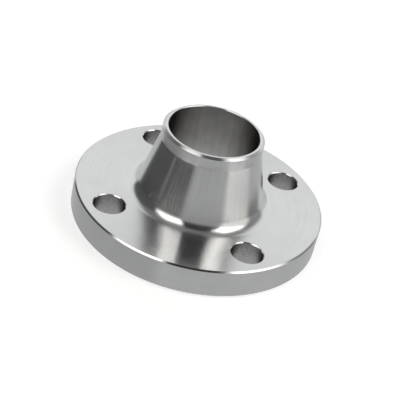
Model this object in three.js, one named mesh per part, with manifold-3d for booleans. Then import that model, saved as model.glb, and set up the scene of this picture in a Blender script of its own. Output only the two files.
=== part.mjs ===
// Weld neck flange, NPS 2 (DN 50) Class 150, raised face, bored for schedule 10S pipe.
// The real flange is one forging, turned and drilled all over, so it is one solid here too.
// Millimetres, +Z up. The origin is the centre of the gasket face, and +Z runs along the bore
// to the weld end. The bolt holes straddle the X and Y axes, as pipework has them.
import * as THREE from 'three';
import { mergeVertices } from 'three/addons/utils/BufferGeometryUtils.js';
import Module from 'manifold-3d';

// Flange ring
const RING_DIAMETER = 152.4;
const RING_THICKNESS = 18.1;
const RING_CHAMFER = 0.9;

// Raised face, the flat on the underside that the gasket seals on
const RAISED_FACE_DIAMETER = 92.1;
const RAISED_FACE_HEIGHT = 1.6;

// Hub: a cone on the ring's back face, blended into it by a fillet
const HUB_BASE_DIAMETER = 79.4; // where the cone would meet the back face without the fillet
const HUB_FILLET_RADIUS = 8.0;
const HUB_TOP_DIAMETER = 60.4;
const HUB_TAPER_LENGTH = 36.4; // from the back face to the hub's top

// Neck and weld end, which match the pipe. The neck stands a little proud of the hub's top.
const NECK_DIAMETER = 61.0;
const NECK_STEP_HEIGHT = 0.3;
const NECK_END_HEIGHT = 44.3; // above the back face
const LAND_WIDTH = 1.4; // the flat root face left by the bevel
const BEVEL_ANGLE = 40; // from the plane of the land, in degrees

// Bore
const BORE_DIAMETER = 54.8;
const BORE_EDGE_BREAK = 0.25;

// Bolt holes
const BOLT_COUNT = 4;
const BOLT_CIRCLE_DIAMETER = 120.65;
const BOLT_HOLE_DIAMETER = 19.05;
const BOLT_HOLE_CHAMFER = 0.5;
const FIRST_BOLT_ANGLE = Math.PI / BOLT_COUNT;

// Facets
const TURNED_FACETS = 96;
const DRILLED_FACETS = 40;
const FILLET_FACETS = 8;
const CUT_OVERRUN = 1.0; // how far a cutter runs past the faces that it opens

const BACK_FACE_Z = RAISED_FACE_HEIGHT + RING_THICKNESS;
const HUB_TOP_Z = BACK_FACE_Z + HUB_TAPER_LENGTH;
const WELD_END_Z = BACK_FACE_Z + NECK_END_HEIGHT;

const STEEL = { color: 0xb9b7b1, roughness: 0.35, metalness: 1.0 };

const wasm = await Module();
wasm.setup();

// A closed three.js geometry as a manifold-3d solid.
function toSolid(geometry) {
  geometry.deleteAttribute('normal');
  geometry.deleteAttribute('uv');
  const merged = mergeVertices(geometry);
  const mesh = new wasm.Mesh({
    numProp: 3,
    vertProperties: new Float32Array(merged.attributes.position.array),
    triVerts: new Uint32Array(merged.index.array),
  });
  return new wasm.Manifold(mesh);
}

// A manifold-3d solid as a three.js geometry.
function toGeometry(solid) {
  const mesh = solid.getMesh();
  const geometry = new THREE.BufferGeometry();
  geometry.setAttribute('position', new THREE.BufferAttribute(mesh.vertProperties, 3));
  geometry.setIndex(new THREE.BufferAttribute(mesh.triVerts, 1));
  geometry.computeVertexNormals();
  return geometry;
}

// Turns an outline of (radius, height) points about the Z axis. The outline runs
// anticlockwise, outwards along the bottom and upwards along the outside.
function turned(outline, facets) {
  const points = outline.map(([radius, height]) => new THREE.Vector2(radius, height));
  return new THREE.LatheGeometry(points, facets).rotateX(Math.PI / 2);
}

// The arc that blends the back face into the hub's cone, tangent to both.
function filletOutline() {
  const baseRadius = HUB_BASE_DIAMETER / 2;
  const taper = Math.atan((baseRadius - HUB_TOP_DIAMETER / 2) / HUB_TAPER_LENGTH);
  const centreRadius = baseRadius + HUB_FILLET_RADIUS * (1 - Math.sin(taper)) / Math.cos(taper);
  const centreZ = BACK_FACE_Z + HUB_FILLET_RADIUS;
  const points = [];
  for (let i = 0; i <= FILLET_FACETS; i += 1) {
    const angle = THREE.MathUtils.lerp(Math.PI / 2, taper, i / FILLET_FACETS);
    points.push([
      centreRadius - HUB_FILLET_RADIUS * Math.cos(angle),
      centreZ - HUB_FILLET_RADIUS * Math.sin(angle),
    ]);
  }
  return points;
}

// The ring, hub and neck in half section, closed along the bore.
function bodyOutline() {
  const ringRadius = RING_DIAMETER / 2;
  const faceRadius = RAISED_FACE_DIAMETER / 2;
  const neckRadius = NECK_DIAMETER / 2;
  const boreRadius = BORE_DIAMETER / 2;
  const mouthRadius = boreRadius + BORE_EDGE_BREAK;
  const landRadius = mouthRadius + LAND_WIDTH;
  const bevelHeight = (neckRadius - landRadius) * Math.tan(THREE.MathUtils.degToRad(BEVEL_ANGLE));
  return [
    [boreRadius, BORE_EDGE_BREAK],
    [mouthRadius, 0],
    [faceRadius, 0],
    [faceRadius, RAISED_FACE_HEIGHT],
    [ringRadius - RING_CHAMFER, RAISED_FACE_HEIGHT],
    [ringRadius, RAISED_FACE_HEIGHT + RING_CHAMFER],
    [ringRadius, BACK_FACE_Z - RING_CHAMFER],
    [ringRadius - RING_CHAMFER, BACK_FACE_Z],
    ...filletOutline(),
    [HUB_TOP_DIAMETER / 2, HUB_TOP_Z],
    [neckRadius, HUB_TOP_Z + NECK_STEP_HEIGHT],
    [neckRadius, WELD_END_Z - bevelHeight],
    [landRadius, WELD_END_Z],
    [mouthRadius, WELD_END_Z],
    [boreRadius, WELD_END_Z - BORE_EDGE_BREAK],
    [boreRadius, BORE_EDGE_BREAK],
  ];
}

// What the drill and the countersink take out for one bolt, chamfered at both faces.
function boltHoleOutline() {
  const radius = BOLT_HOLE_DIAMETER / 2;
  const mouthRadius = radius + BOLT_HOLE_CHAMFER + CUT_OVERRUN;
  const bottom = RAISED_FACE_HEIGHT;
  return [
    [0, bottom - CUT_OVERRUN],
    [mouthRadius, bottom - CUT_OVERRUN],
    [radius, bottom + BOLT_HOLE_CHAMFER],
    [radius, BACK_FACE_Z - BOLT_HOLE_CHAMFER],
    [mouthRadius, BACK_FACE_Z + CUT_OVERRUN],
    [0, BACK_FACE_Z + CUT_OVERRUN],
  ];
}

function flangeForging() {
  let solid = toSolid(turned(bodyOutline(), TURNED_FACETS));
  for (let i = 0; i < BOLT_COUNT; i += 1) {
    const angle = FIRST_BOLT_ANGLE + i * 2 * Math.PI / BOLT_COUNT;
    const hole = turned(boltHoleOutline(), DRILLED_FACETS);
    hole.translate(
      BOLT_CIRCLE_DIAMETER / 2 * Math.cos(angle),
      BOLT_CIRCLE_DIAMETER / 2 * Math.sin(angle),
      0,
    );
    solid = solid.subtract(toSolid(hole));
  }
  const mesh = new THREE.Mesh(toGeometry(solid), new THREE.MeshStandardMaterial(STEEL));
  mesh.name = 'flange_forging';
  return mesh;
}

const flange = new THREE.Group();
flange.add(flangeForging());

export default flange;
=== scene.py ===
"""A weld neck flange in turned stainless steel, on a pale floor under soft studio light.

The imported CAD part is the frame. One fine mesh, closed and with exact normals, stands for its
faceted solid: the same ring, hub, neck, bore and bolt holes, with rounded edges and the
serrations of the raised face cut in. Lengths are in metres, +Z is up.
"""
import math

import bmesh
import bpy
from mathutils import Matrix, Vector


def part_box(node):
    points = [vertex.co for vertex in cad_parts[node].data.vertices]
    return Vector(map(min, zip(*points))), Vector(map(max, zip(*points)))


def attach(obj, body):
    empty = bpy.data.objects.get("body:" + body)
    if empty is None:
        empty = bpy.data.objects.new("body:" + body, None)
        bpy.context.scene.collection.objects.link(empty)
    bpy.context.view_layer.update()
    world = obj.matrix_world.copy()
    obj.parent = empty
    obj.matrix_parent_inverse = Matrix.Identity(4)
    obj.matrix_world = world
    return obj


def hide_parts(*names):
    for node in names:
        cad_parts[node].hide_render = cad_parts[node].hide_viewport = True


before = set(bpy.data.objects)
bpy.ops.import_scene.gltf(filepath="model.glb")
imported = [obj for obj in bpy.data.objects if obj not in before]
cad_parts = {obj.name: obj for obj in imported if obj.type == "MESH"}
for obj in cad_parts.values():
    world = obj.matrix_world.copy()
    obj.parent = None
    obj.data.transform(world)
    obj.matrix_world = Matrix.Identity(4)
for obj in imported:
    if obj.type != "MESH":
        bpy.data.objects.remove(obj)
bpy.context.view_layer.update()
_, NODE_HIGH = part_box("flange_forging")

# The part's driving dimensions, as its CAD source has them
MM = 0.001
MICRON = 1e-6
RING_RADIUS = NODE_HIGH.x
WELD_END_Z = NODE_HIGH.z
RAISED_FACE_RADIUS = 46.05 * MM
RAISED_FACE_HEIGHT = 1.6 * MM
BACK_FACE_Z = 19.7 * MM
RING_CHAMFER = 0.9 * MM
HUB_BASE_RADIUS = 39.7 * MM
HUB_FILLET_RADIUS = 8.0 * MM
HUB_TOP_RADIUS = 30.2 * MM
HUB_TOP_Z = BACK_FACE_Z + 36.4 * MM
NECK_RADIUS = 30.5 * MM
NECK_STEP_HEIGHT = 0.3 * MM
BORE_RADIUS = 27.4 * MM
BORE_EDGE_BREAK = 0.25 * MM
LAND_WIDTH = 1.4 * MM
BEVEL_ANGLE = math.radians(40)
BOLT_CIRCLE_RADIUS = 60.325 * MM
BOLT_ANGLES = [math.radians(45 + 90 * i) for i in range(4)]
BOLT_HOLE_RADIUS = 9.525 * MM
BOLT_HOLE_CHAMFER = 0.5 * MM

# How finely the mesh is cut, and what the CAD leaves sharp
TURNED_STEPS = 384
DRILLED_STEPS = 96
EDGE_ROUND = 0.08 * MM
SERRATION_PITCH = 0.8 * MM
SERRATION_DEPTH = 0.05 * MM
SERRATION_MARGIN = 0.9 * MM
TOOL_LINE_DROP = 0.9 * MM
TOOL_LINE_WIDTH = 0.5 * MM
TOOL_LINE_DEPTH = 0.03 * MM
HUB_BRUSHING = 1.6  # how much stronger than the lay the marks along the hub are

# The flange's materials, in the order of its slots
TURNED, DRILLED, BORED, BEVELLED = 0, 1, 2, 3

# Where the camera stands and what it aims at
CAMERA_AZIMUTH = math.radians(10.0)
CAMERA_ELEVATION = math.radians(34.0)
CAMERA_ROLL = math.radians(13.7)
CAMERA_DISTANCE = 665 * MM
CAMERA_LENS = 98.5
AIM_RIGHT = 0.1 * MM
AIM_UP = -4.9 * MM


def rounded(corners):
    """Points and outward normals of a closed half section. A corner is (radius from the axis,
    height, radius of its rounding, steps of its arc), and the section runs anticlockwise."""
    section = []
    for i, (r, z, rounding, steps) in enumerate(corners):
        here = Vector((r, z))
        before = Vector(corners[i - 1][:2])
        after = Vector(corners[(i + 1) % len(corners)][:2])
        way_in = (here - before).normalized()
        way_out = (after - here).normalized()
        normal_in = Vector((way_in.y, -way_in.x))
        normal_out = Vector((way_out.y, -way_out.x))
        turn = math.atan2(way_in.cross(way_out), way_in.dot(way_out))
        setback = rounding * math.tan(abs(turn) / 2)
        side = math.copysign(1.0, turn)
        centre = here - way_in * setback - normal_in * rounding * side
        first = math.atan2(normal_in.y, normal_in.x)
        for k in range(steps + 1):
            angle = first + turn * k / max(steps, 1)
            normal = Vector((math.cos(angle), math.sin(angle)))
            section.append((centre + normal * rounding * side, normal))
    return section


def tool_line():
    """Corners of a faint groove round the cone, left where the tool stopped below the neck."""
    slope = (HUB_BASE_RADIUS - HUB_TOP_RADIUS) / (HUB_TOP_Z - BACK_FACE_Z)
    corners = []
    for across, depth in ((-0.5, 0), (0, TOOL_LINE_DEPTH), (0.5, 0)):
        drop = TOOL_LINE_DROP - across * TOOL_LINE_WIDTH
        corners.append((HUB_TOP_RADIUS + slope * drop - depth, HUB_TOP_Z - drop, 0.02 * MM, 1))
    return corners


def serrations():
    """The gasket face's concentric grooves, each the arc of a round-nosed tool, outwards."""
    inner = BORE_RADIUS + BORE_EDGE_BREAK + SERRATION_MARGIN
    outer = RAISED_FACE_RADIUS - SERRATION_MARGIN
    count = int((outer - inner) / SERRATION_PITCH)
    steps = 4
    nose = SERRATION_PITCH ** 2 / (8 * SERRATION_DEPTH)
    section = []
    for i in range(count * steps + 1):
        across = (i % steps) / steps - 0.5
        offset = across * SERRATION_PITCH
        height = SERRATION_DEPTH * (1 - (2 * across) ** 2)
        normal = Vector((offset / nose, -1)).normalized()
        if i % steps == 0:
            normal = Vector((0, -1))
        section.append((Vector((inner + i * SERRATION_PITCH / steps, height)), normal))
    return section


def ring_of_verts(bm, normals, point, normal, steps, centre=Vector((0, 0)), phase=0.0):
    """A circle of vertices at one point of a section, turned about a vertical axis."""
    ring = []
    for k in range(steps):
        angle = phase + 2 * math.pi * k / steps
        c, s = math.cos(angle), math.sin(angle)
        vert = bm.verts.new((centre.x + point.x * c, centre.y + point.x * s, point.y))
        normals.append(Vector((normal.x * c, normal.x * s, normal.y)))
        ring.append(vert)
    return ring


def bridge(bm, lower, upper, material=TURNED):
    """Quads between two circles of vertices, facing out when the section goes anticlockwise."""
    steps = len(lower)
    for k in range(steps):
        nxt = (k + 1) % steps
        face = bm.faces.new((lower[k], lower[nxt], upper[nxt], upper[k]))
        face.material_index = material


def fill(bm, circles, up):
    """Triangles over a flat face bounded by circles of vertices."""
    edges = []
    for ring in circles:
        for k, vert in enumerate(ring):
            other = ring[(k + 1) % len(ring)]
            edge = bm.edges.get((vert, other)) or bm.edges.new((vert, other))
            edges.append(edge)
    made = bmesh.ops.triangle_fill(bm, use_beauty=True, edges=edges, normal=Vector((0, 0, up)))
    faces = [g for g in made["geom"] if isinstance(g, bmesh.types.BMFace)]
    for face in faces:
        face.normal_update()
        if face.normal.z * up < 0:
            face.normal_flip()


def flange_mesh():
    """The whole forging as one closed mesh, with a normal for each vertex."""
    edge = EDGE_ROUND
    mouth = BORE_RADIUS + BORE_EDGE_BREAK
    land = mouth + LAND_WIDTH
    bevel = (NECK_RADIUS - land) * math.tan(BEVEL_ANGLE)
    outer = RING_RADIUS - RING_CHAMFER
    corners = [
        (BORE_RADIUS, BORE_EDGE_BREAK, edge, 3),
        (mouth, 0, edge, 3),
        (RAISED_FACE_RADIUS, 0, 0.3 * MM, 4),
        (RAISED_FACE_RADIUS, RAISED_FACE_HEIGHT, 0.4 * MM, 4),
        (outer, RAISED_FACE_HEIGHT, edge, 3),
        (RING_RADIUS, RAISED_FACE_HEIGHT + RING_CHAMFER, edge, 3),
        (RING_RADIUS, BACK_FACE_Z - RING_CHAMFER, edge, 3),
        (outer, BACK_FACE_Z, edge, 3),
        (HUB_BASE_RADIUS, BACK_FACE_Z, HUB_FILLET_RADIUS, 32),
        *tool_line(),
        (HUB_TOP_RADIUS, HUB_TOP_Z, edge, 3),
        (NECK_RADIUS, HUB_TOP_Z + NECK_STEP_HEIGHT, edge, 3),
        (NECK_RADIUS, WELD_END_Z - bevel, edge, 3),
        (land, WELD_END_Z, edge, 3),
        (mouth, WELD_END_Z, edge, 3),
        (BORE_RADIUS, WELD_END_Z - BORE_EDGE_BREAK, edge, 3),
    ]
    section = rounded(corners)
    first_of = {}
    count = 0
    for i, corner in enumerate(corners):
        first_of[i] = count
        count += corner[3] + 1
    # The serrations go between the bore's mouth and the edge of the raised face.
    gasket_gap = first_of[2]
    grooves = serrations()
    section[gasket_gap:gasket_gap] = grooves
    shift = len(grooves)
    bottom_gap = first_of[4] + shift
    top_gap = first_of[8] + shift
    land_corner = len(corners) - 3
    finish_of = {0: BORED, first_of[land_corner] + shift: BEVELLED}

    bm = bmesh.new()
    normals = []
    rings = [ring_of_verts(bm, normals, p, n, TURNED_STEPS) for p, n in section]
    for i in range(len(rings)):
        if i not in (bottom_gap, top_gap):
            bridge(bm, rings[i - 1], rings[i], finish_of.get(i, TURNED))

    wall_corners = [
        (BOLT_HOLE_RADIUS + BOLT_HOLE_CHAMFER, BACK_FACE_Z, edge, 2),
        (BOLT_HOLE_RADIUS, BACK_FACE_Z - BOLT_HOLE_CHAMFER, edge, 2),
        (BOLT_HOLE_RADIUS, RAISED_FACE_HEIGHT + BOLT_HOLE_CHAMFER, edge, 2),
        (BOLT_HOLE_RADIUS + BOLT_HOLE_CHAMFER, RAISED_FACE_HEIGHT, edge, 2),
    ]
    beyond = [(BOLT_CIRCLE_RADIUS, RAISED_FACE_HEIGHT, 0, 0), (BOLT_CIRCLE_RADIUS, BACK_FACE_Z, 0, 0)]
    wall = rounded(wall_corners + beyond)[:-len(beyond)]
    tops, bottoms = [], []
    for angle in BOLT_ANGLES:
        centre = Vector((math.cos(angle), math.sin(angle))) * BOLT_CIRCLE_RADIUS
        hole = [ring_of_verts(bm, normals, p, n, DRILLED_STEPS, centre, angle) for p, n in wall]
        for i in range(1, len(hole)):
            steepest = max(abs(wall[i - 1][1].y), abs(wall[i][1].y))
            bridge(bm, hole[i - 1], hole[i], DRILLED if steepest < 0.4 else TURNED)
        tops.append(hole[0])
        bottoms.append(hole[-1])
    fill(bm, [rings[top_gap - 1], rings[top_gap], *tops], 1)
    fill(bm, [rings[bottom_gap - 1], rings[bottom_gap], *bottoms], -1)
    for face in bm.faces:
        face.smooth = True
    mesh = bpy.data.meshes.new("flange_fine")
    bm.to_mesh(mesh)
    bm.free()
    mesh.normals_split_custom_set_from_vertices([n.normalized() for n in normals])
    return mesh


class Nodes:
    """A node tree, with a short call for each kind of node used here."""

    def __init__(self, tree):
        self.tree = tree

    def add(self, kind, **settings):
        made = self.tree.nodes.new("ShaderNode" + kind)
        for name, value in settings.items():
            setattr(made, name, value)
        return made

    def feed(self, socket, value):
        """Links an output to a socket, or sets the socket's own value."""
        if isinstance(value, bpy.types.NodeSocket):
            self.tree.links.new(value, socket)
        else:
            socket.default_value = value

    def math(self, operation, *values):
        made = self.add("Math", operation=operation)
        for socket, value in zip(made.inputs, values):
            self.feed(socket, value)
        return made.outputs[0]

    def between(self, value, start, end):
        """0 at start and before it, 1 at end and after it, smooth between."""
        made = self.add("MapRange", interpolation_type="SMOOTHSTEP")
        self.feed(made.inputs["Value"], value)
        made.inputs["From Min"].default_value = start
        made.inputs["From Max"].default_value = end
        return made.outputs["Result"]

    def combine(self, x, y, z):
        made = self.add("CombineXYZ")
        for socket, value in zip(made.inputs, (x, y, z)):
            self.feed(socket, value)
        return made.outputs[0]

    def noise(self, vector, w=0.0, detail=2.0, roughness=0.5):
        """Noise from 0 to 1 about 0.5, whose features are about one unit of vector across."""
        made = self.add("TexNoise", noise_dimensions="4D")
        self.feed(made.inputs["Vector"], vector)
        self.feed(made.inputs["W"], w)
        made.inputs["Scale"].default_value = 1.0
        made.inputs["Detail"].default_value = detail
        made.inputs["Roughness"].default_value = roughness
        return made.outputs["Fac"]

    def spread(self, value, low, high):
        """Noise stretched so that most of it runs from low to high."""
        made = self.add("MapRange")
        self.feed(made.inputs["Value"], value)
        made.inputs["From Min"].default_value = 0.3
        made.inputs["From Max"].default_value = 0.7
        made.inputs["To Min"].default_value = low
        made.inputs["To Max"].default_value = high
        return made.outputs["Result"]

    def bump(self, height, depth, under=None):
        """A bumped normal. Height is from 0 to 1, and depth is in metres."""
        made = self.add("Bump")
        made.inputs["Distance"].default_value = depth
        self.feed(made.inputs["Height"], height)
        if under:
            self.feed(made.inputs["Normal"], under)
        return made.outputs["Normal"]

    def mix(self, factor, first, second):
        made = self.add("Mix", data_type="RGBA")
        self.feed(made.inputs["Factor"], factor)
        self.feed(made.inputs["A"], first)
        self.feed(made.inputs["B"], second)
        return made.outputs["Result"]


class Steel(Nodes):
    """A steel surface, with the coordinates that machining marks follow."""

    def __init__(self, name, color, edge, anisotropic):
        self.material = bpy.data.materials.new(name)
        self.material.use_nodes = True
        super().__init__(self.material.node_tree)
        self.shader = self.tree.nodes["Principled BSDF"]
        self.color = color
        self.shader.inputs["Metallic"].default_value = 1.0
        self.shader.inputs["Specular Tint"].default_value = (*edge, 1)
        self.shader.inputs["Anisotropic"].default_value = anisotropic
        self.shader.inputs["Anisotropic Rotation"].default_value = 0.25
        self.place = self.add("TexCoord").outputs["Object"]
        split = self.add("SeparateXYZ")
        self.feed(split.inputs[0], self.place)
        self.x, self.y, self.z = split.outputs
        across = self.math("MULTIPLY", self.x, self.x)
        self.radius = self.math("SQRT", self.math("MULTIPLY_ADD", self.y, self.y, across))

    def grain(self, size, detail=2.0, roughness=0.5):
        """Even, cloudy noise of this size in metres."""
        made = self.add("VectorMath", operation="SCALE")
        self.feed(made.inputs[0], self.place)
        made.inputs["Scale"].default_value = 1 / size
        return self.noise(made.outputs[0], 0.0, detail, roughness)

    def lay(self, pitch, turns, detail=3.0, roughness=0.6):
        """Noise in rings round the axis, this far apart, that changes this slowly round them."""
        out = self.math("MULTIPLY", self.radius, 1 / pitch)
        up = self.math("MULTIPLY", self.z, 1 / pitch)
        c = self.math("MULTIPLY", self.math("DIVIDE", self.x, self.radius), turns)
        s = self.math("MULTIPLY", self.math("DIVIDE", self.y, self.radius), turns)
        return self.noise(self.combine(out, up, c), s, detail, roughness)

    def streaks(self, turns, length, detail=3.0, roughness=0.6):
        """Noise in streaks that run along the part's section, straight from the axis outwards."""
        along = self.math("MULTIPLY", self.math("ADD", self.radius, self.z), 1 / length)
        c = self.math("MULTIPLY", self.math("DIVIDE", self.x, self.radius), turns)
        s = self.math("MULTIPLY", self.math("DIVIDE", self.y, self.radius), turns)
        return self.noise(self.combine(c, s, along), 0.0, detail, roughness)

    def shade(self, marks, low, high):
        """The base colour, darkened and lightened by marks."""
        level = self.spread(marks, low, high)
        made = self.add("VectorMath", operation="SCALE")
        made.inputs[0].default_value = self.color
        self.feed(made.inputs["Scale"], level)
        self.feed(self.shader.inputs["Base Color"], made.outputs[0])

    def finish(self, roughness, normal):
        self.feed(self.shader.inputs["Roughness"], roughness)
        self.feed(self.shader.inputs["Normal"], normal)
        return self.material

    def around_axis(self):
        """The direction round the part's axis, which the tool moved in."""
        tangent = self.add("Tangent", direction_type="RADIAL", axis="Z")
        self.feed(self.shader.inputs["Tangent"], tangent.outputs["Tangent"])


def turned_steel():
    steel = Steel("turned", (0.66, 0.66, 0.655), (1, 1, 1), 0.98)
    steel.around_axis()
    clouds = steel.grain(14 * MM, 2.0)
    lay = steel.lay(0.9 * MM, 1.5)
    streaks = steel.streaks(40, 30 * MM)
    marks = steel.math("MULTIPLY_ADD", lay, 0.45, steel.math("MULTIPLY", clouds, 0.55))
    # The hub is brushed along its slope as well, which the ring is not.
    on_hub = steel.between(steel.z, BACK_FACE_Z + 2 * MM, BACK_FACE_Z + 10 * MM)
    brushing = steel.math("SUBTRACT", steel.streaks(60, 40 * MM, 4.0, 0.7), 0.5)
    brushing = steel.math("MULTIPLY", brushing, HUB_BRUSHING)
    marks = steel.math("MULTIPLY_ADD", on_hub, brushing, marks)
    steel.shade(marks, 0.94, 1.06)
    roughness = steel.spread(marks, 0.15, 0.21)
    normal = steel.bump(lay, 4.0 * MICRON)
    normal = steel.bump(streaks, 20.0 * MICRON, normal)
    normal = steel.bump(clouds, 40.0 * MICRON, normal)
    return steel.finish(roughness, normal)


def bevelled_steel():
    steel = Steel("bevelled", (0.66, 0.66, 0.655), (1, 1, 1), 1.0)
    steel.around_axis()
    lay = steel.lay(0.5 * MM, 1.5)
    steel.shade(lay, 0.95, 1.05)
    roughness = steel.spread(lay, 0.27, 0.31)
    normal = steel.bump(steel.streaks(24, 30 * MM), 6.0 * MICRON)
    return steel.finish(roughness, normal)


def bored_steel():
    steel = Steel("bored", (0.41, 0.405, 0.395), (0.5, 0.5, 0.5), 0.9)
    steel.around_axis()
    clouds = steel.grain(9 * MM, 3.0)
    streaks = steel.streaks(9, 60 * MM)
    marks = steel.math("MULTIPLY_ADD", streaks, 0.6, steel.math("MULTIPLY", clouds, 0.4))
    steel.shade(marks, 0.85, 1.15)
    roughness = steel.spread(clouds, 0.2, 0.24)
    normal = steel.bump(streaks, 100.0 * MICRON)
    return steel.finish(roughness, normal)


def drilled_steel():
    steel = Steel("drilled", (0.37, 0.365, 0.36), (0.2, 0.2, 0.2), 0.8)
    around = steel.add("VectorMath", operation="CROSS_PRODUCT")
    around.inputs[0].default_value = (0, 0, 1)
    steel.feed(around.inputs[1], steel.add("NewGeometry").outputs["Normal"])
    steel.feed(steel.shader.inputs["Tangent"], around.outputs[0])
    grain = steel.grain(1.1 * MM, 3.0, 0.6)
    steel.shade(grain, 0.7, 1.25)
    roughness = steel.spread(grain, 0.26, 0.36)
    normal = steel.bump(grain, 75.0 * MICRON)
    return steel.finish(roughness, normal)


flange = bpy.data.objects.new("flange_fine", flange_mesh())
bpy.context.scene.collection.objects.link(flange)
flange.data.materials.append(turned_steel())
flange.data.materials.append(drilled_steel())
flange.data.materials.append(bored_steel())
flange.data.materials.append(bevelled_steel())
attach(flange, "root")
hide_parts("flange_forging")


# How wide the edges of a card fade, in degrees
CRISP, SOFT, BROAD, HAZY = 6, 10, 12, 15


class Card:
    """A soft-edged patch of the studio, in degrees: the azimuths of its sides, where 0 is the
    camera's side and plus is to its right, and the elevations of its ends. Light is its
    brightness, and soft is how wide its edges fade."""

    def __init__(self, left, right, low, high, light, tint, soft=CRISP):
        self.azimuth = (left + right) / 2
        self.half_width = (right - left) / 2
        self.middle = (low + high) / 2
        self.half_height = (high - low) / 2
        self.color = [light * c for c in tint] + [1]
        self.fade = soft / 2


# Tints of the lamps' and the room's light
LAMP = (1.0, 0.99, 0.965)
ROOM = (0.98, 0.99, 1.0)

# The studio's driving values, in degrees and brightness. Two equal soft boxes stand either side
# of its middle line, which is turned to the camera's right, and a bright wall stands behind the part.
ALL_ROUND = (-360, 360)
STUDIO_TURN = 15
BOX_ASIDE = 60
BOX_WIDTH = 50
BOX_LOW, BOX_HIGH = 30, 65
BOX_LIGHT = 2.6
WALL_WIDTH = 100
WALL_HIGH = 50
WALL_LIGHT = 1.0
PAPER_LIGHT = 0.56
TABLE_LIGHT = 0.4
FILL_LOW = -10
FILL_LIGHT = 1.0
SIDE_LIGHT = 0.3
CEILING_LOW = 82
ROOM_LIGHT = 0.2
DARK_LIGHT = 0.1
GAP_LIGHT = 0.03
FLOOR_REACH = 4.0
FLOOR_LIGHT = 0.52  # lifts the floor to the plain pale ground that the camera sees
SHADE_DROP = 0.2 * MM  # below the floor
SHADE_LIGHT = 0.9  # what the holes and the bore mirror from below


def studio_cards():
    """The studio's cards, from the back of the pile to the front."""
    inner = BOX_ASIDE - BOX_WIDTH / 2
    outer = BOX_ASIDE + BOX_WIDTH / 2
    wall = 180 - WALL_WIDTH / 2
    middle = STUDIO_TURN
    return [
        Card(*ALL_ROUND, -90, 0, PAPER_LIGHT, ROOM, SOFT),
        Card(wall, wall + WALL_WIDTH, 0, WALL_HIGH, WALL_LIGHT, ROOM, HAZY),
        Card(middle + outer, wall, 0, BOX_LOW, SIDE_LIGHT, ROOM, SOFT),
        Card(wall + WALL_WIDTH, 360 + middle - outer, -BOX_LOW, WALL_HIGH, DARK_LIGHT, ROOM),
        Card(middle - outer, middle - inner, -BOX_LOW, BOX_LOW, DARK_LIGHT, ROOM, HAZY),
        Card(middle - inner, middle + inner, 0, BOX_LOW, TABLE_LIGHT, ROOM, BROAD),
        Card(middle - inner, middle + inner, BOX_LOW, 90, GAP_LIGHT, ROOM),
        Card(*ALL_ROUND, CEILING_LOW, 180 - CEILING_LOW, SIDE_LIGHT, ROOM),
        Card(middle - outer, middle - inner, BOX_LOW, BOX_HIGH, BOX_LIGHT, LAMP),
        Card(middle + inner, middle + outer, BOX_LOW, BOX_HIGH, BOX_LIGHT, LAMP),
        Card(middle + inner, middle + outer, FILL_LOW, BOX_LOW, FILL_LIGHT, LAMP, BROAD),
    ]


def studio_world():
    """The light: the studio's cards painted over one another on the sky. The camera itself sees
    only plain white behind the floor."""
    world = bpy.data.worlds.new("studio")
    bpy.context.scene.world = world
    world.use_nodes = True
    nodes = Nodes(world.node_tree)
    background = world.node_tree.nodes["Background"]
    way = nodes.add("TexCoord").outputs["Generated"]
    split = nodes.add("SeparateXYZ")
    nodes.feed(split.inputs[0], way)
    x, y, z = split.outputs
    turn = nodes.math("ARCTAN2", x, nodes.math("MULTIPLY", y, -1.0))
    azimuth = nodes.math("SUBTRACT", nodes.math("DEGREES", turn), math.degrees(CAMERA_AZIMUTH))
    elevation = nodes.math("DEGREES", nodes.math("ARCSINE", z))
    color = [ROOM_LIGHT * c for c in ROOM] + [1]
    for card in studio_cards():
        aside = nodes.math("PINGPONG", nodes.math("SUBTRACT", azimuth, card.azimuth), 180.0)
        above = nodes.math("ABSOLUTE", nodes.math("SUBTRACT", elevation, card.middle))
        across = nodes.between(aside, card.half_width + card.fade, card.half_width - card.fade)
        along = nodes.between(above, card.half_height + card.fade, card.half_height - card.fade)
        color = nodes.mix(nodes.math("MULTIPLY", across, along), color, card.color)
    seen = nodes.add("LightPath").outputs["Is Camera Ray"]
    nodes.feed(background.inputs["Color"], nodes.mix(seen, color, (1, 1, 1, 1)))


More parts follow.
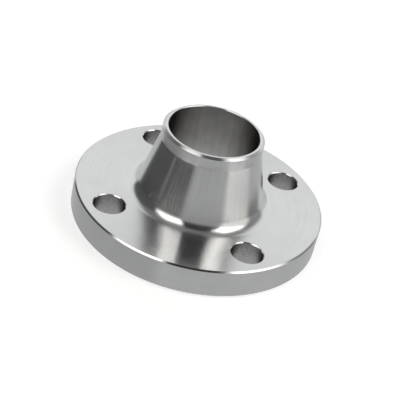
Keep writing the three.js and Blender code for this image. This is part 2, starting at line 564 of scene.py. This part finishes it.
def camera():
    """The camera, rolled about its own axis so that the part leans in the picture."""
    a, e = CAMERA_AZIMUTH, CAMERA_ELEVATION
    back = Vector((math.sin(a) * math.cos(e), -math.cos(a) * math.cos(e), math.sin(e)))
    right = Vector((math.cos(a), math.sin(a), 0))
    up = back.cross(right)
    x_axis = right * math.cos(CAMERA_ROLL) + up * math.sin(CAMERA_ROLL)
    y_axis = back.cross(x_axis)
    place = Vector((0, 0, BACK_FACE_Z)) + back * CAMERA_DISTANCE + x_axis * AIM_RIGHT + y_axis * AIM_UP
    data = bpy.data.cameras.new("camera")
    data.lens = CAMERA_LENS
    data.sensor_width = 36
    data.clip_start, data.clip_end = 0.01, 50
    obj = bpy.data.objects.new("camera", data)
    turned = Matrix((x_axis, y_axis, back)).transposed().to_4x4()
    obj.matrix_world = Matrix.Translation(place) @ turned
    bpy.context.scene.collection.objects.link(obj)
    bpy.context.scene.camera = obj


def stage_floor():
    """The pale floor, which the steel doesn't mirror, and the shade under the part, which it does."""
    reach = FLOOR_REACH
    corners = [(-reach, -reach, 0), (reach, -reach, 0), (reach, reach, 0), (-reach, reach, 0)]
    mesh = bpy.data.meshes.new("floor")
    mesh.from_pydata(corners, [], [(0, 1, 2, 3)])
    floor = bpy.data.objects.new("floor", mesh)
    floor.visible_glossy = False
    bpy.context.scene.collection.objects.link(floor)
    paper = bpy.data.materials.new("paper")
    paper.use_nodes = True
    shader = paper.node_tree.nodes["Principled BSDF"]
    shader.inputs["Base Color"].default_value = (0.8, 0.8, 0.8, 1)
    shader.inputs["Roughness"].default_value = 1.0
    shader.inputs["Specular IOR Level"].default_value = 0.0
    shader.inputs["Emission Color"].default_value = (1, 1, 1, 1)
    shader.inputs["Emission Strength"].default_value = FLOOR_LIGHT
    floor.data.materials.append(paper)

    steps = 64
    turns = [2 * math.pi * k / steps for k in range(steps)]
    rim = [(RING_RADIUS * math.cos(a), RING_RADIUS * math.sin(a), -SHADE_DROP) for a in turns]
    mesh = bpy.data.meshes.new("shade")
    mesh.from_pydata(rim, [], [range(steps)])
    shade = bpy.data.objects.new("shade", mesh)
    shade.visible_camera = False
    shade.visible_diffuse = False
    shade.visible_shadow = False
    shade.visible_transmission = False
    bpy.context.scene.collection.objects.link(shade)
    dim = bpy.data.materials.new("dim")
    dim.use_nodes = True
    shader = dim.node_tree.nodes["Principled BSDF"]
    shader.inputs["Base Color"].default_value = (0, 0, 0, 1)
    shader.inputs["Specular IOR Level"].default_value = 0.0
    shader.inputs["Emission Color"].default_value = (*ROOM, 1)
    shader.inputs["Emission Strength"].default_value = SHADE_LIGHT
    shade.data.materials.append(dim)


stage_floor()
studio_world()
camera()
bpy.context.scene.view_settings.view_transform = "Standard"
